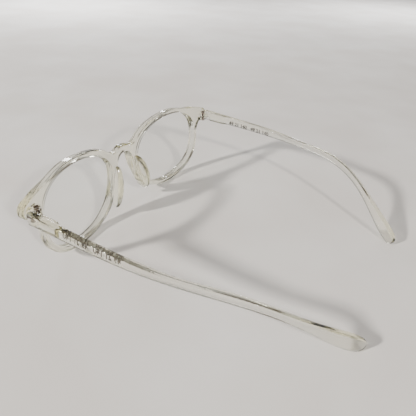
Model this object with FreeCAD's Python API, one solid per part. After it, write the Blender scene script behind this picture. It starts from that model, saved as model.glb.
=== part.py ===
"""Eyeglasses with a clear moulded plastic front, two temples on screwed barrel hinges,
two lenses and two nose pads.

Millimetres. The glasses stand open on a level surface: +Z is up, the front faces -Y, the
temples run to +Y and +X is the wearer's left. The origin is the middle of the footprint.
The front and its hinges are drawn upright and then lean forward by FRONT_LEAN.
"""
import FreeCAD, Part
import math
import os

Vec = FreeCAD.Vector

# ---- driving dimensions, mm and degrees ----
LENS_WIDTH = 49.0            # lens opening, as seen
LENS_HEIGHT = 36.8
LENS_CENTRE_X = 34.9         # from the middle of the bridge
LENS_CENTRE_Z = 20.8         # above the bottom of the rims
FRONT_DEPTH = 4.0            # thickness of the front, front face to rear face
FRONT_RADIUS = 300.0         # the front wraps round the face on this radius
FRONT_LEAN = 3.0             # the top of the front leans forward
FRONT_HALF_WIDTH = 69.7
EDGE_RADIUS = 0.8            # rounding of the front's outer edges
OPENING_RADIUS = 0.45        # rounding round the lens openings

BRIDGE_TOP_Z = 34.3
BRIDGE_UNDER_Z = 30.6
NOSE_SLOPE = 0.4             # the nose sides open towards the wearer, mm per mm

GROOVE_DEPTH = 0.6           # V groove that holds the lens
GROOVE_HALF_WIDTH = 0.55
LENS_THICKNESS = 1.9
LENS_RADIUS = 200.0          # curve of the lens
LENS_CLEARANCE = 0.05

HINGE_X = 64.5               # hinge axis
HINGE_Y = 11.3
HINGE_MID_Z = 32.2
HINGE_HEIGHT = 5.1
BARREL_RADIUS = 1.65
BARREL_CLEARANCE = 0.15      # round a barrel that turns, and
KNUCKLE_GAP = 0.06           # between the knuckles' end faces
BUTT_Y = 11.7                # rear face of the end piece, where the open temple stops
BUTT_GAP = 0.06
WEB_DEPTH = 4.4              # the knuckles run this far into the front
GUSSET_LENGTH = 4.1          # and the middle one this far into the temple,
KNUCKLE_FLANK = 0.85         # from this share of its radius off the axis
SCREW_RADIUS = 0.60
SCREW_HOLE_RADIUS = 0.65
SCREW_HEAD_RADIUS = 1.15
SCREW_HEAD_HEIGHT = 0.70
SCREW_SLOT_WIDTH = 0.35
THREAD_PITCH = 0.30
THREAD_DEPTH = 0.10
NUT_ACROSS_FLATS = 2.2
NUT_HEIGHT = 1.1
SEAT_CLEARANCE = 0.04        # round the screw's head and the nut

PAD_HALF = (1.9, 4.8, 10.6)   # nose pad half sizes: thickness, width, length
PAD_CENTRE = (10.0, 3.1, 15.8)
PAD_SPLAY = 14.0             # seen from above
PAD_SLANT = 13.0             # seen from the front

TIP_LENGTH = 3.4             # rounded end of the temple, and
TIP_STEPS = (1.0, 0.6, 0.3, 0.1, 0.01)  # its sections: shares of that length left to go
SECTION_SQUARENESS = 4.0     # exponent of the temple's rounded section
SECTION_POINTS = 20

BEYOND = 12.0                # how far large cutting tools reach past what they cut,
PAST = 1.0                   # and small ones
ROUNDING_ANGLES = (0, 30, 60)  # steps of a rounded edge, from its tangent point
LOOP_PIECES = 12             # edges in each long outline

# Lens opening of the left rim, clockwise from its top: x and z as fractions of the half
# width and half height, and the rim's width beside the point. None is where the rim runs
# into the end piece or the nose side.
LENS_OUTLINE = (
    (0.045, 1.000, 2.3),
    (0.380, 0.972, 2.5),
    (0.680, 0.850, 3.2),
    (0.925, 0.560, None),
    (1.000, 0.160, None),
    (0.955, -0.299, 2.6),
    (0.700, -0.752, 2.7),
    (0.384, -0.937, 2.5),
    (-0.060, -1.000, 2.4),
    (-0.480, -0.878, 2.5),
    (-0.800, -0.560, 2.8),
    (-0.965, -0.060, None),
    (-0.990, 0.290, None),
    (-0.850, 0.610, None),
    (-0.430, 0.900, 2.7),
)
TOP_RIM = (14, 0, 1, 2)      # outline points beside the brow line
LOWER_RIM = (5, 6, 7, 8, 9, 10)

# The rest of the front's silhouette, x and z: from the bridge to the left rim, round the
# end piece, and up the nose side with the share of NOSE_SLOPE that each point takes.
BROW = ((3.4, 33.8), (6.6, 32.8), (9.6, 33.6), (13.8, 36.5))
END_PIECE = ((60.6, 38.0), (66.0, 36.5), (68.9, 35.2), (69.7, 32.9), (68.9, 30.7),
             (66.2, 29.4), (62.9, 26.5), (61.6, 22.0))
NOSE_SIDE = ((10.8, 10.7, 0.8), (7.7, 15.6, 1.0), (5.6, 20.7, 1.0), (4.2, 25.7, 1.0),
             (3.0, 29.2, 0.5))

# Left temple from the hinge to the tip: y, x and z of its middle, height, thickness.
TEMPLE_STATIONS = (
    (5.6, 68.0, 32.6, 5.4, 3.4),
    (19.6, 68.5, 31.8, 5.0, 3.2),
    (33.6, 68.9, 30.8, 4.5, 3.0),
    (57.6, 68.3, 28.9, 3.9, 2.7),
    (81.6, 64.5, 26.9, 3.4, 2.6),
    (99.6, 58.2, 22.7, 3.4, 2.5),
    (115.6, 48.2, 12.7, 4.6, 2.6),
    (131.0, 36.0, 1.7, 6.2, 2.8),
)
# The temple is thicker towards the head behind the hinge: y of the thick part's sections
# and x of its inner face there. It is a little less tall than the bar.
THICK_PART = ((13.6, 65.75), (21.6, 65.95), (25.0, 67.5))
THICK_PART_SHARE = 0.96


def across(shape):
    """The same piece on the other side of the glasses."""
    return shape.mirror(Vec(0, 0, 0), Vec(1, 0, 0))


def same_side(shape):
    return shape


def lean(shape):
    """Tip a piece drawn with the upright front forward to the front's real angle."""
    leaning = shape.copy()
    leaning.rotate(Vec(0, 0, 0), Vec(1, 0, 0), FRONT_LEAN)
    return leaning


def wrap_y(x):
    """Middle of the front's thickness at x."""
    return FRONT_RADIUS - math.sqrt(FRONT_RADIUS ** 2 - x ** 2)


def loop_through(points, pieces=1):
    """Closed smooth wire through the points, in a few edges end to end."""
    curve = Part.BSplineCurve()
    curve.interpolate(Points=points, PeriodicFlag=True)
    knots = curve.getKnots()
    cuts = [knots[round(i * len(points) / pieces)] for i in range(pieces + 1)]
    return Part.Wire([curve.toShape(a, b) for a, b in zip(cuts[:-1], cuts[1:])])


def stack(loops):
    """Solid whose wall runs straight from each loop to the next; its two ends are flat."""
    faces = [Part.Face(loops[0]), Part.Face(loops[-1])]
    for lower, upper in zip(loops[:-1], loops[1:]):
        faces += [Part.makeRuledSurface(a, b) for a, b in zip(lower.Edges, upper.Edges)]
    solid = Part.makeSolid(Part.makeShell(faces))
    if solid.Volume < 0:
        solid.reverse()
    return solid


def grown(points, amount):
    """Points of a clockwise loop in x and z, moved outwards by an amount."""
    moved = []
    for before, point, after in zip(points[-1:] + points[:-1], points,
                                    points[1:] + points[:1]):
        along = (after - before).normalize()
        moved.append(point + Vec(-along.z, 0, along.x) * amount)
    return moved


def wrapped_loop(points, depth):
    """The loop laid on the wrapped front, at a depth behind the middle of its thickness."""
    return loop_through([Vec(p.x, wrap_y(p.x) + depth, p.z) for p in points], LOOP_PIECES)


def flat_loop(points, y):
    return loop_through([Vec(p.x, y, p.z) for p in points], LOOP_PIECES)


def rounding_steps(radius):
    """Depth and inset of the steps round a rear edge, the last just past the rear face."""
    start = FRONT_DEPTH / 2 - radius
    steps = []
    for angle in ROUNDING_ANGLES:
        turn = math.radians(angle)
        steps.append((start + radius * math.sin(turn), radius * (1 - math.cos(turn))))
    (depth_a, inset_a), (depth_b, inset_b) = steps[-1], (FRONT_DEPTH / 2, radius)
    steps.append((2 * depth_b - depth_a, 2 * inset_b - inset_a))
    return steps


# ---- lens opening and lens ----
def lens_points():
    return [Vec(LENS_CENTRE_X + u * LENS_WIDTH / 2, 0, LENS_CENTRE_Z + v * LENS_HEIGHT / 2)
            for u, v, rim in LENS_OUTLINE]


def opening_tool():
    """What is cut out of the front for a lens: the opening, its V groove, round edges."""
    opening = lens_points()
    rear = rounding_steps(OPENING_RADIUS)
    front = [(-depth, inset) for depth, inset in reversed(rear)]
    groove = [(-GROOVE_HALF_WIDTH, 0.0), (0.0, GROOVE_DEPTH), (GROOVE_HALF_WIDTH, 0.0)]
    wires = [wrapped_loop(grown(opening, grow), depth)
             for depth, grow in front + groove + rear]
    widest = grown(opening, rear[-1][1])
    first = flat_loop(widest, -BEYOND)
    last = flat_loop(widest, wrap_y(FRONT_HALF_WIDTH) + BEYOND)
    return stack([first] + wires + [last])


def lens_edge():
    """The lens's rim as a plug with a V ridge, before its curved faces are cut."""
    opening = grown(lens_points(), -LENS_CLEARANCE)
    half = GROOVE_HALF_WIDTH - LENS_CLEARANCE
    wires = [flat_loop(opening, -BEYOND),
             wrapped_loop(opening, -half),
             wrapped_loop(grown(opening, GROOVE_DEPTH), 0.0),
             wrapped_loop(opening, half),
             flat_loop(opening, wrap_y(FRONT_HALF_WIDTH) + BEYOND)]
    return stack(wires)


def make_lens():
    """A curved plate whose middle bulges forward until its edge sits on the groove."""
    turn = math.asin(LENS_CENTRE_X / FRONT_RADIUS)
    inwards = Vec(-math.sin(turn), math.cos(turn), 0)
    half_diagonal = (LENS_WIDTH + LENS_HEIGHT) / 4
    bulge = half_diagonal ** 2 / 2 * (1 / LENS_RADIUS - 0.5 / FRONT_RADIUS)
    middle = Vec(LENS_CENTRE_X, wrap_y(LENS_CENTRE_X), LENS_CENTRE_Z) - inwards * bulge
    centre = middle + inwards * LENS_RADIUS
    window = Part.makeBox(LENS_WIDTH + 2 * BEYOND, 2 * BEYOND, LENS_HEIGHT + 2 * BEYOND,
                          middle - Vec(LENS_WIDTH, 2 * BEYOND, LENS_HEIGHT) * 0.5
                          - Vec(BEYOND, 0, BEYOND))
    outer = Part.makeSphere(LENS_RADIUS + LENS_THICKNESS / 2, centre).common(window)
    plate = outer.cut(Part.makeSphere(LENS_RADIUS - LENS_THICKNESS / 2, centre))
    return lens_edge().common(plate)


# ---- front ----
def silhouette(depth):
    """Outline of the whole front at a depth, from the bridge's top round the left side."""
    lens = lens_points()

    def rim(indexes):
        return [grown(lens, LENS_OUTLINE[i][2])[i] for i in indexes]

    slope = NOSE_SLOPE * (depth + FRONT_DEPTH / 2)
    left = [Vec(x, 0, z) for x, z in BROW]
    left += rim(TOP_RIM)
    left += [Vec(x, 0, z) for x, z in END_PIECE]
    left += rim(LOWER_RIM)
    left += [Vec(x + slope * share, 0, z) for x, z, share in NOSE_SIDE]
    right = [Vec(-p.x, 0, p.z) for p in reversed(left)]
    return [Vec(0, 0, BRIDGE_TOP_Z)] + left + [Vec(0, 0, BRIDGE_UNDER_Z)] + right


def front_block():
    """The silhouette with rounded edges, running past the front's two faces."""
    rear = rounding_steps(EDGE_RADIUS)
    steps = [(-depth, inset) for depth, inset in reversed(rear)] + rear
    wires = [wrapped_loop(grown(silhouette(depth), -inset), depth) for depth, inset in steps]
    first = flat_loop(grown(silhouette(steps[0][0]), -steps[0][1]), -BEYOND)
    last = flat_loop(grown(silhouette(steps[-1][0]), -steps[-1][1]),
                     wrap_y(FRONT_HALF_WIDTH) + BEYOND)
    return stack([first] + wires + [last])


def wrapped_slab():
    """The curved sheet between the front's faces, thicker at the two end pieces."""
    height = LENS_HEIGHT + 2 * BEYOND
    base = Vec(0, FRONT_RADIUS, -BEYOND / 2)
    outer = Part.makeCylinder(FRONT_RADIUS + FRONT_DEPTH / 2, height, base)
    inner = Part.makeCylinder(FRONT_RADIUS - FRONT_DEPTH / 2, height, base)
    half_width = FRONT_HALF_WIDTH + PAST
    window = Part.makeBox(2 * half_width, 2 * BEYOND, height,
                          Vec(-half_width, -BEYOND, -BEYOND / 2))
    slab = outer.common(window).cut(inner)
    block_x = HINGE_X + BARREL_RADIUS
    block_y = wrap_y(block_x)
    block = Part.makeBox(BEYOND, BUTT_Y - block_y, 2 * HINGE_HEIGHT,
                         Vec(block_x, block_y, HINGE_MID_Z - HINGE_HEIGHT))
    return slab.fuse([block, across(block)])


# ---- hinge ----
def hinge_column(radius, z_low, z_high):
    return Part.makeCylinder(radius, z_high - z_low, Vec(HINGE_X, HINGE_Y, z_low))


def hinge_bottom():
    return HINGE_MID_Z - HINGE_HEIGHT / 2


def hinge_top():
    return HINGE_MID_Z + HINGE_HEIGHT / 2


def knuckle_levels():
    """Lower and upper ends of the hinge's three knuckles, from the bottom up."""
    pitch = HINGE_HEIGHT / 3
    return [(hinge_bottom() + i * pitch, hinge_bottom() + (i + 1) * pitch)
            for i in range(3)]


def hex_prism(across_flats, height, base):
    radius = across_flats / math.sqrt(3)
    corners = []
    for i in range(7):
        turn = math.radians(60 * i)
        corners.append(base + Vec(math.cos(turn), math.sin(turn), 0) * radius)
    return Part.Face(Part.makePolygon(corners)).extrude(Vec(0, 0, height))


def front_knuckles():
    """The top and bottom knuckles with the webs that join them to the end piece."""
    low, middle, high = knuckle_levels()
    knuckles = []
    for z_low, z_high in (low, high):
        barrel = hinge_column(BARREL_RADIUS, z_low, z_high)
        web = Part.makeBox(2 * BARREL_RADIUS, WEB_DEPTH, z_high - z_low,
                           Vec(HINGE_X - BARREL_RADIUS, HINGE_Y - WEB_DEPTH, z_low))
        knuckles.append(barrel.fuse(web))
    return knuckles


def screw_way():
    """Screw hole, head seat and nut pocket through the front's knuckles."""
    hole = hinge_column(SCREW_HOLE_RADIUS, hinge_bottom() - PAST, hinge_top() + PAST)
    seat = hinge_column(SCREW_HEAD_RADIUS + SEAT_CLEARANCE,
                        hinge_top() - SCREW_HEAD_HEIGHT, hinge_top() + PAST)
    pocket = hex_prism(NUT_ACROSS_FLATS + 2 * SEAT_CLEARANCE, NUT_HEIGHT + PAST,
                       Vec(HINGE_X, HINGE_Y, hinge_bottom() - PAST))
    return hole.fuse([seat, pocket])


def middle_knuckle_way():
    """Room in the front for the temple's knuckle to turn."""
    low, middle, high = knuckle_levels()
    return hinge_column(BARREL_RADIUS + BARREL_CLEARANCE, middle[0], middle[1])


def make_front():
    body = front_block().common(wrapped_slab())
    for side in (same_side, across):
        body = body.fuse([side(knuckle) for knuckle in front_knuckles()])
        body = body.cut([side(tool) for tool in
                         (opening_tool(), middle_knuckle_way(), screw_way())])
    return body.removeSplitter()


def make_screw():
    """Slotted head on a shank whose lower end is threaded into the nut."""
    shoulder = hinge_top() - SCREW_HEAD_HEIGHT
    head = hinge_column(SCREW_HEAD_RADIUS, shoulder, hinge_top())
    shank = hinge_column(SCREW_RADIUS, hinge_bottom(), shoulder)
    slot = Part.makeBox(2 * SCREW_HEAD_RADIUS, SCREW_SLOT_WIDTH, SCREW_HEAD_HEIGHT,
                        Vec(HINGE_X - SCREW_HEAD_RADIUS, HINGE_Y - SCREW_SLOT_WIDTH / 2,
                            hinge_top() - SCREW_HEAD_HEIGHT / 2))
    screw = head.fuse(shank).cut(slot)
    z = hinge_bottom() + THREAD_PITCH
    while z < hinge_bottom() + NUT_HEIGHT:
        groove = hinge_column(SCREW_HEAD_RADIUS, z, z + THREAD_PITCH / 2)
        core = hinge_column(SCREW_RADIUS - THREAD_DEPTH, z, z + THREAD_PITCH / 2)
        screw = screw.cut(groove.cut(core))
        z += THREAD_PITCH
    return screw


def make_nut():
    nut = hex_prism(NUT_ACROSS_FLATS, NUT_HEIGHT, Vec(HINGE_X, HINGE_Y, hinge_bottom()))
    return nut.cut(hinge_column(SCREW_RADIUS + SEAT_CLEARANCE / 2, hinge_bottom() - PAST,
                                hinge_bottom() + NUT_HEIGHT + PAST))


# ---- nose pad ----
def make_pad(front):
    """A flattened egg along the nose side, the front part of it taken up by the rim."""
    stretch = FreeCAD.Matrix()
    stretch.scale(*PAD_HALF)
    pad = Part.makeSphere(1.0).transformGeometry(stretch)
    pad.rotate(Vec(0, 0, 0), Vec(0, 0, 1), -PAD_SPLAY)
    pad.rotate(Vec(0, 0, 0), Vec(0, 1, 0), -PAD_SLANT)
    pad.translate(Vec(*PAD_CENTRE))
    return pad.cut(front)


# ---- temple ----
def section(centre, along, height, thickness):
    """Rounded section square to the temple's line."""
    sideways = along.cross(Vec(0, 0, 1)).normalize()
    upwards = sideways.cross(along)
    power = 2 / SECTION_SQUARENESS
    points = []
    for i in range(SECTION_POINTS):
        turn = 2 * math.pi * i / SECTION_POINTS
        side = math.copysign(abs(math.cos(turn)) ** power, math.cos(turn))
        rise = math.copysign(abs(math.sin(turn)) ** power, math.sin(turn))
        points.append(centre + sideways * (side * thickness / 2)
                      + upwards * (rise * height / 2))
    return loop_through(points)


def temple_bar():
    """The long bar, its end rounded as seen from the side."""
    line = Part.BSplineCurve()
    line.interpolate([Vec(x, y, z) for y, x, z, height, thickness in TEMPLE_STATIONS])
    wires = []
    for y, x, z, height, thickness in TEMPLE_STATIONS[:-1]:
        at = line.parameter(Vec(x, y, z))
        wires.append(section(line.value(at), Vec(*line.tangent(at)[0]), height, thickness))
    height, thickness = TEMPLE_STATIONS[-1][3:]
    for left in TIP_STEPS:
        at = line.parameterAtDistance(line.length() - TIP_LENGTH * left)
        round_end = math.sqrt(1 - (1 - left) ** 2)
        wires.append(section(line.value(at), Vec(*line.tangent(at)[0]), height * round_end,
                             thickness * (1 + round_end) / 2))
    return Part.makeLoft(wires, True, False)


def thick_part():
    """The thicker inner part of the temple behind its hinge, ending in a bevel."""
    first, second = TEMPLE_STATIONS[0], TEMPLE_STATIONS[2]
    wires = []
    for y, inner_x in THICK_PART:
        share = (y - first[0]) / (second[0] - first[0])
        x, z, height = (first[i] + (second[i] - first[i]) * share for i in (1, 2, 3))
        centre = Vec((inner_x + x) / 2, y, z)
        wires.append(section(centre, Vec(0, 1, 0), height * THICK_PART_SHARE, x - inner_x))
    return Part.makeLoft(wires, True, True)


def temple_knuckle():
    """The middle knuckle and the gusset that carries it on the temple."""
    low, middle, high = knuckle_levels()
    z_low, z_high = middle[0] + KNUCKLE_GAP, middle[1] - KNUCKLE_GAP
    barrel = hinge_column(BARREL_RADIUS, z_low, z_high)
    inner_x, outer_x = HINGE_X - BARREL_RADIUS * KNUCKLE_FLANK, HINGE_X + 2 * BARREL_RADIUS
    butt_y, root_y = BUTT_Y + BUTT_GAP, HINGE_Y + GUSSET_LENGTH
    corners = [Vec(inner_x, HINGE_Y + BARREL_RADIUS / 2, z_low),
               Vec(HINGE_X, butt_y, z_low),
               Vec(outer_x, butt_y, z_low),
               Vec(outer_x, root_y, z_low),
               Vec(THICK_PART[0][1], root_y, z_low)]
    gusset = Part.Face(Part.makePolygon(corners + corners[:1]))
    return barrel.fuse(gusset.extrude(Vec(0, 0, z_high - z_low)))


def make_temple():
    """The left temple, cut square to the front's end piece so that it stops there."""
    past_butt = Part.makeBox(2 * BEYOND, BEYOND, 4 * BEYOND,
                             Vec(HINGE_X - BEYOND, BUTT_Y + BUTT_GAP - BEYOND,
                                 HINGE_MID_Z - 2 * BEYOND))
    barrel_room = hinge_column(BARREL_RADIUS + BARREL_CLEARANCE, hinge_bottom() - BEYOND,
                               hinge_top() + BEYOND)
    bar = temple_bar().fuse(thick_part()).cut([lean(past_butt), lean(barrel_room)])
    screw_hole = hinge_column(SCREW_HOLE_RADIUS, hinge_bottom(), hinge_top())
    return bar.fuse(lean(temple_knuckle())).cut(lean(screw_hole)).removeSplitter()


def main():
    os.makedirs("parts", exist_ok=True)
    front = make_front()
    pieces = {"front_frame": lean(front)}
    for side, name in ((same_side, "left"), (across, "right")):
        pieces[name + "_lens"] = lean(side(make_lens()))
        pieces[name + "_nose_pad"] = lean(side(make_pad(front)))
        pieces[name + "_hinge_screw"] = lean(side(make_screw()))
        pieces[name + "_hinge_nut"] = lean(side(make_nut()))
        pieces[name + "_temple"] = side(make_temple())
    box = Part.makeCompound(list(pieces.values())).optimalBoundingBox()
    to_origin = Vec(0, -(box.YMin + box.YMax) / 2, -box.ZMin)
    for name, shape in pieces.items():
        shape.translate(to_origin)
        shape.exportStep("parts/" + name + ".step")
        extent = shape.optimalBoundingBox()
        print(name, "solids", len(shape.Solids), "valid", shape.isValid(),
              "volume", round(shape.Volume, 1), "z", round(extent.ZMin, 2),
              round(extent.ZMax, 2), "y", round(extent.YMin, 2), round(extent.YMax, 2))
    print("moved by", to_origin, "size", box.XLength, box.YLength, box.ZLength)


main()
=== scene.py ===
"""The looks of a pair of clear plastic eyeglasses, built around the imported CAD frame.

Metres, in the frame's own axes: +Z up, the front faces -Y, +X is the wearer's left. The
glasses stand open on a pale floor; the camera looks from behind the wearer's left.
"""
import math

import bpy
from mathutils import Matrix, Vector


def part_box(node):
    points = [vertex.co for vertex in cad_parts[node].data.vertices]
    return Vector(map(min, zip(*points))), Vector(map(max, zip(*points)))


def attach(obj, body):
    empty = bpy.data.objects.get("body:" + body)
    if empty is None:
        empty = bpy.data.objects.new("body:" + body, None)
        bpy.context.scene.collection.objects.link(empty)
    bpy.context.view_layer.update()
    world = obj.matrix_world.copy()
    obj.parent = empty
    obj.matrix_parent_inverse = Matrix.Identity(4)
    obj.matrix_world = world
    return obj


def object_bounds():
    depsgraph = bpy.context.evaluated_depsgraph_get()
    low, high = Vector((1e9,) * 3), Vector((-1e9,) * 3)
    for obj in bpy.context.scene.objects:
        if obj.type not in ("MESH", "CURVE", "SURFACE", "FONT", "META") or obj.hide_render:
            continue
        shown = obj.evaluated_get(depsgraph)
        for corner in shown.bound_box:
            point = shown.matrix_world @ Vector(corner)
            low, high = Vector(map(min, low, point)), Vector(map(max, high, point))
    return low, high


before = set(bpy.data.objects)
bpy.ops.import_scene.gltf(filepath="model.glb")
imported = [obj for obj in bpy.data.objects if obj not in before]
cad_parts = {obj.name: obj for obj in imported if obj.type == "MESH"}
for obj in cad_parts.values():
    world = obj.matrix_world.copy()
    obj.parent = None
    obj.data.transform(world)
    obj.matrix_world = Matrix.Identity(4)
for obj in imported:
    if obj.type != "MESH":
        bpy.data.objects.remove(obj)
CAD_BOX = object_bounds()
LOW, HIGH = (Vector(corner) for corner in CAD_BOX)
WIDTH = HIGH.x - LOW.x
UP = Vector((0.0, 0.0, 1.0))

# ---- the camera's place, in parts of the glasses' width from the middle of the footprint ----
CAMERA_AZIMUTH = 116.74
CAMERA_ELEVATION = 31.55
CAMERA_ROLL = 2.62
CAMERA_DISTANCE = 1.4476 * WIDTH
CAMERA_TARGET = Vector((0.002, -0.1088, 0.0967)) * WIDTH
CAMERA_LENS = 36.98

# ---- the lamps: angles in degrees, distances and sizes in widths, power in watts ----
MAIN_WINDOW = dict(azimuth=58.0, elevation=27.5, distance=12.0, size=(0.8, 0.9), power=50.0,
                   colour=(1.0, 0.94, 0.87))
SIDE_WINDOW = dict(azimuth=146.0, elevation=29.0, distance=12.0, size=(0.7, 0.8), power=20.0,
                   colour=(1.0, 0.94, 0.87))
# Lamps over the floor beyond the front, facing straight down.
FAR_LAMPS = (dict(azimuth=318.0, reach=6.5, height=2.5, size=(2.0, 2.0), power=5.8),
             dict(azimuth=272.0, reach=7.5, height=2.5, size=(2.0, 2.0), power=4.4))

# ---- the printed size marks inside the temples ----
MARK_HEIGHT = 0.020 * WIDTH
MARK_DROP = 0.005 * WIDTH    # below the middle of the face
MARK_BOLDNESS = 0.04 * MARK_HEIGHT   # how far each stroke is thickened
MARK_DEPTH = 0.0002 * WIDTH   # the printing lies just under the polished surface
SIZE_MARKS = "49 21 140   49 21 140"   # lens width, bridge width, temple length in mm
MARKS_START = 0.147           # along the temple from its front end, as a share of its length
MARK_SEARCH_STEPS = 200       # heights tried when looking for the middle of the face

# ---- plastic, and the scale of each texture in features a metre ----
STRAW = (0.93, 0.905, 0.60, 1.0)
PLASTIC_IOR = 1.49
WEAR_SCALE = 900.0
RIPPLE_SCALE = 160.0
SMEAR_SCALE = 120.0
TURNING_SCALE = 3000.0
INK_SCALE = 2500.0
PAPER_GRAIN_SCALE = 60.0
PAPER_WAVE_SCALE = 14.0
FLOOR_SIZE = 80 * WIDTH


# ---- helpers ----
def towards(azimuth, elevation):
    """Unit vector from the glasses to a place round them; azimuth 0 is in front of them."""
    a, e = math.radians(azimuth), math.radians(elevation)
    return Vector((math.sin(a) * math.cos(e), -math.cos(a) * math.cos(e), math.sin(e)))


def node_of(tree, kind, **inputs):
    """A new shader node with its inputs set or linked."""
    node = tree.nodes.new(kind)
    for name, value in inputs.items():
        socket = node.inputs[name.replace("_", " ")]
        if isinstance(value, bpy.types.NodeSocket):
            tree.links.new(value, socket)
        else:
            socket.default_value = value
    return node


def empty_material(name):
    """A node material with only its output: (material, tree, output)."""
    material = bpy.data.materials.new(name)
    material.use_nodes = True
    tree = material.node_tree
    tree.nodes.clear()
    return material, tree, tree.nodes.new("ShaderNodeOutputMaterial")


def new_material(name):
    """A material with one principled shader: (material, tree, shader, output)."""
    material, tree, output = empty_material(name)
    shader = tree.nodes.new("ShaderNodeBsdfPrincipled")
    tree.links.new(shader.outputs["BSDF"], output.inputs["Surface"])
    return material, tree, shader, output


def noise(tree, scale, detail=3.0, roughness=0.5):
    """Noise laid over the object's own coordinates, in metres."""
    where = tree.nodes.new("ShaderNodeTexCoord")
    return node_of(tree, "ShaderNodeTexNoise", Vector=where.outputs["Object"], Scale=scale,
                   Detail=detail, Roughness=roughness)


def remap(tree, value, low, high, start=0.35, end=0.65):
    """The value, stretched from start..end to low..high."""
    node = node_of(tree, "ShaderNodeMapRange", Value=value)
    node.inputs["From Min"].default_value = start
    node.inputs["From Max"].default_value = end
    node.inputs["To Min"].default_value = low
    node.inputs["To Max"].default_value = high
    return node.outputs["Result"]


def mixed(tree, factor, first, second):
    """Colour socket between two colours or sockets."""
    node = tree.nodes.new("ShaderNodeMix")
    node.data_type = "RGBA"
    for name, value in (("Factor", factor), ("A", first), ("B", second)):
        sockets = [s for s in node.inputs if s.name == name and s.enabled]
        if isinstance(value, bpy.types.NodeSocket):
            tree.links.new(value, sockets[0])
        else:
            sockets[0].default_value = value
    return [s for s in node.outputs if s.enabled][0]


def give(names, material):
    """The CAD nodes get this material in every slot."""
    for name in names:
        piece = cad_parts[name]
        for index in range(max(1, len(piece.material_slots))):
            if piece.material_slots:
                piece.material_slots[index].material = material
            else:
                piece.data.materials.append(material)


# ---- materials ----
def clear_plastic(name, tint, density, roughness, ripple_height):
    """Polished clear plastic: its straw tint deepens with the length of plastic looked through."""
    material, tree, shader, output = new_material(name)
    shader.inputs["Base Color"].default_value = (1.0, 1.0, 1.0, 1.0)
    shader.inputs["Transmission Weight"].default_value = 1.0
    shader.inputs["IOR"].default_value = PLASTIC_IOR
    wear = noise(tree, WEAR_SCALE)
    tree.links.new(remap(tree, wear.outputs["Fac"], roughness, roughness * 2.5),
                   shader.inputs["Roughness"])
    ripple = noise(tree, RIPPLE_SCALE, 2.0)
    bump = node_of(tree, "ShaderNodeBump", Height=ripple.outputs["Fac"], Strength=1.0,
                   Distance=ripple_height)
    tree.links.new(bump.outputs["Normal"], shader.inputs["Normal"])
    absorb = node_of(tree, "ShaderNodeVolumeAbsorption", Color=tint, Density=density)
    tree.links.new(absorb.outputs["Volume"], output.inputs["Volume"])
    return material


def lens_coating(name):
    """A thin clear lens: light goes straight through, with a faint even sheen on its faces."""
    material, tree, output = empty_material(name)
    clear = node_of(tree, "ShaderNodeBsdfTransparent", Color=(0.985, 0.99, 0.985, 1.0))
    smears = noise(tree, SMEAR_SCALE, 4.0)
    sheen = node_of(tree, "ShaderNodeBsdfGlossy",
                    Roughness=remap(tree, smears.outputs["Fac"], 0.01, 0.05))
    # The sheen is on the faces that the light meets from outside; inside there is none.
    facing = node_of(tree, "ShaderNodeLayerWeight", Blend=0.15)
    inside = tree.nodes.new("ShaderNodeNewGeometry").outputs["Backfacing"]
    share = tree.nodes.new("ShaderNodeMapRange")
    tree.links.new(inside, share.inputs["Value"])
    tree.links.new(facing.outputs["Fresnel"], share.inputs["To Min"])
    share.inputs["To Max"].default_value = 0.0
    join = tree.nodes.new("ShaderNodeMixShader")
    tree.links.new(share.outputs["Result"], join.inputs[0])
    tree.links.new(clear.outputs["BSDF"], join.inputs[1])
    tree.links.new(sheen.outputs["BSDF"], join.inputs[2])
    tree.links.new(join.outputs["Shader"], output.inputs["Surface"])
    return material


def steel(name, colour, roughness):
    """Dark plated steel with fine turning marks."""
    material, tree, shader, _ = new_material(name)
    shader.inputs["Metallic"].default_value = 1.0
    grain = noise(tree, TURNING_SCALE, 4.0)
    shade = mixed(tree, remap(tree, grain.outputs["Fac"], 0.0, 1.0),
                  (*[c * 0.6 for c in colour], 1.0), (*colour, 1.0))
    tree.links.new(shade, shader.inputs["Base Color"])
    tree.links.new(remap(tree, grain.outputs["Fac"], roughness, roughness + 0.15),
                   shader.inputs["Roughness"])
    return material


def ink(name):
    """Dark grey printing, slightly uneven."""
    material, tree, shader, _ = new_material(name)
    patches = noise(tree, INK_SCALE, 2.0)
    tree.links.new(mixed(tree, remap(tree, patches.outputs["Fac"], 0.0, 1.0),
                         (0.035, 0.032, 0.03, 1.0), (0.10, 0.09, 0.08, 1.0)),
                   shader.inputs["Base Color"])
    shader.inputs["Roughness"].default_value = 0.6
    return material


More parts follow.
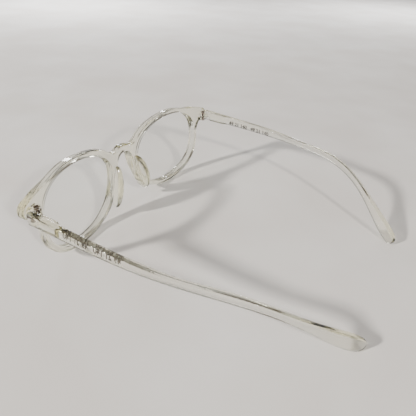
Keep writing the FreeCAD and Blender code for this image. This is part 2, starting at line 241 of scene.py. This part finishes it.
# ---- printed marks ----
def print_marks(side_name, text, material):
    """Size numerals laid on the inner face of a temple, read from between the temples."""
    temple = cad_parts[side_name + "_temple"]
    low, high = (Vector(corner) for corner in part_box(side_name + "_temple"))
    outwards = 1.0 if side_name == "left" else -1.0   # away from the head, along X
    curve = bpy.data.curves.new(side_name + "_marks_font", "FONT")
    curve.body = text
    curve.size = MARK_HEIGHT
    curve.offset = MARK_BOLDNESS
    curve.align_x = "LEFT" if side_name == "right" else "RIGHT"
    curve.align_y = "CENTER"
    writer = bpy.data.objects.new(side_name + "_marks_font", curve)
    bpy.context.collection.objects.link(writer)
    bpy.context.view_layer.update()
    mesh = bpy.data.meshes.new_from_object(writer.evaluated_get(
        bpy.context.evaluated_depsgraph_get()))
    bpy.data.objects.remove(writer)

    to_world = temple.matrix_world
    to_local = to_world.inverted()
    start_y = low.y + MARKS_START * (high.y - low.y)
    side = Vector((outwards, 0.0, 0.0))
    local_side = (to_local.to_3x3() @ side).normalized()

    def face_at(y, z):
        """X of the inner face there, or None past its edge."""
        found, place, _, _ = temple.ray_cast(to_local @ Vector((0.0, y, z)), local_side)
        return (to_world @ place).x if found else None

    def middle_at(y):
        """Height of the middle of the inner face at y."""
        heights = [low.z + (high.z - low.z) * i / MARK_SEARCH_STEPS
                   for i in range(MARK_SEARCH_STEPS + 1)]
        hits = [z for z in heights if face_at(y, z) is not None]
        return (min(hits) + max(hits)) / 2

    for vertex in mesh.vertices:
        y = start_y - outwards * vertex.co.x
        z = middle_at(y) - MARK_DROP + vertex.co.y
        x = face_at(y, z)
        vertex.co = Vector((x + outwards * MARK_DEPTH, y, z))
    marks = bpy.data.objects.new(side_name + "_size_marks", mesh)
    bpy.context.collection.objects.link(marks)
    mesh.materials.clear()
    mesh.materials.append(material)
    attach(marks, side_name + "_temple")


# ---- the stage ----
def make_floor():
    """A pale warm grey sheet, with the faint grain and broad waves of paper."""
    material, tree, shader, _ = new_material("floor_paper")
    grain = noise(tree, PAPER_GRAIN_SCALE, 6.0)
    paper = mixed(tree, remap(tree, grain.outputs["Fac"], 0.0, 1.0),
                  (0.67, 0.66, 0.645, 1.0), (0.69, 0.682, 0.67, 1.0))
    waves = noise(tree, PAPER_WAVE_SCALE, 2.0)
    tree.links.new(mixed(tree, remap(tree, waves.outputs["Fac"], 0.0, 1.0),
                         paper, (0.62, 0.60, 0.58, 1.0)),
                   shader.inputs["Base Color"])
    shader.inputs["Roughness"].default_value = 0.9
    shader.inputs["Specular IOR Level"].default_value = 0.2
    bpy.ops.mesh.primitive_plane_add(size=FLOOR_SIZE, location=(0.0, 0.0, 0.0))
    floor = bpy.context.object
    floor.name = "floor"
    floor.data.materials.append(material)


def add_lamp(name, place, facing, size, power, colour=(1.0, 1.0, 1.0)):
    """A soft rectangular lamp."""
    lamp = bpy.data.lights.new(name, "AREA")
    lamp.shape = "RECTANGLE"
    lamp.size, lamp.size_y = (side * WIDTH for side in size)
    lamp.energy = power
    lamp.color = colour
    holder = bpy.data.objects.new(name, lamp)
    bpy.context.collection.objects.link(holder)
    holder.location = place * WIDTH
    holder.rotation_euler = facing.to_track_quat("-Z", "Y").to_euler()


def add_window(name, azimuth, elevation, distance, **lamp):
    """A lamp placed round the glasses as the camera is, and facing them."""
    way = towards(azimuth, elevation)
    add_lamp(name, way * distance, -way, **lamp)


def add_ceiling_lamp(name, azimuth, reach, height, **lamp):
    """A lamp above the floor, facing straight down."""
    add_lamp(name, towards(azimuth, 0.0) * reach + UP * height, -UP, **lamp)


def make_world():
    """A pale room: bright walls all round, a dim warm cornice and a bright patch of ceiling."""
    world = bpy.data.worlds.new("room")
    bpy.context.scene.world = world
    world.use_nodes = True
    tree = world.node_tree
    background = tree.nodes["Background"]
    where = tree.nodes.new("ShaderNodeTexCoord")
    split = node_of(tree, "ShaderNodeSeparateXYZ", Vector=where.outputs["Generated"])
    height = split.outputs["Z"]
    room = mixed(tree, remap(tree, height, 0.0, 1.0, 0.25, 0.45),
                 (0.70, 0.69, 0.67, 1.0), (0.08, 0.06, 0.05, 1.0))
    room = mixed(tree, remap(tree, height, 0.0, 1.0, 0.60, 0.80),
                 room, (0.48, 0.48, 0.48, 1.0))
    tree.links.new(room, background.inputs["Color"])
    background.inputs["Strength"].default_value = 1.0


def make_camera():
    """The camera behind the wearer's left, turned a little about its own line of sight."""
    data = bpy.data.cameras.new("camera")
    data.lens = CAMERA_LENS
    data.sensor_width = 36.0
    data.clip_start = 0.01 * WIDTH
    holder = bpy.data.objects.new("camera", data)
    bpy.context.collection.objects.link(holder)
    back = towards(CAMERA_AZIMUTH, CAMERA_ELEVATION)
    right = (-back).cross(UP).normalized()
    up = right.cross(-back)
    turn = math.radians(CAMERA_ROLL)
    rolled_right = right * math.cos(turn) + up * math.sin(turn)
    rolled_up = up * math.cos(turn) - right * math.sin(turn)
    axes = Matrix((rolled_right, rolled_up, back)).transposed()
    place = CAMERA_TARGET + back * CAMERA_DISTANCE
    holder.matrix_world = Matrix.Translation(place) @ axes.to_4x4()
    bpy.context.scene.camera = holder


front_plastic = clear_plastic("front_clear_plastic", STRAW, 90.0, 0.015, 0.000004)
temple_plastic = clear_plastic("temple_clear_plastic", STRAW, 90.0, 0.015, 0.000002)
pad_plastic = clear_plastic("pad_plastic", STRAW, 90.0, 0.08, 0.000008)
lens_plastic = lens_coating("lens_plastic")
screw_steel = steel("screw_steel", (0.20, 0.14, 0.11), 0.25)
nut_steel = steel("nut_steel", (0.24, 0.19, 0.16), 0.30)

give(["front_frame"], front_plastic)
give(["left_temple", "right_temple"], temple_plastic)
give(["left_nose_pad", "right_nose_pad"], pad_plastic)
give(["left_lens", "right_lens"], lens_plastic)
give(["left_hinge_screw", "right_hinge_screw"], screw_steel)
give(["left_hinge_nut", "right_hinge_nut"], nut_steel)

printing = ink("mark_ink")
print_marks("left", SIZE_MARKS, printing)
print_marks("right", SIZE_MARKS, printing)

make_floor()
make_world()
add_window("main_window", **MAIN_WINDOW)
add_window("side_window", **SIDE_WINDOW)
for number, lamp in enumerate(FAR_LAMPS, start=1):
    add_ceiling_lamp(f"far_lamp_{number}", **lamp)
make_camera()
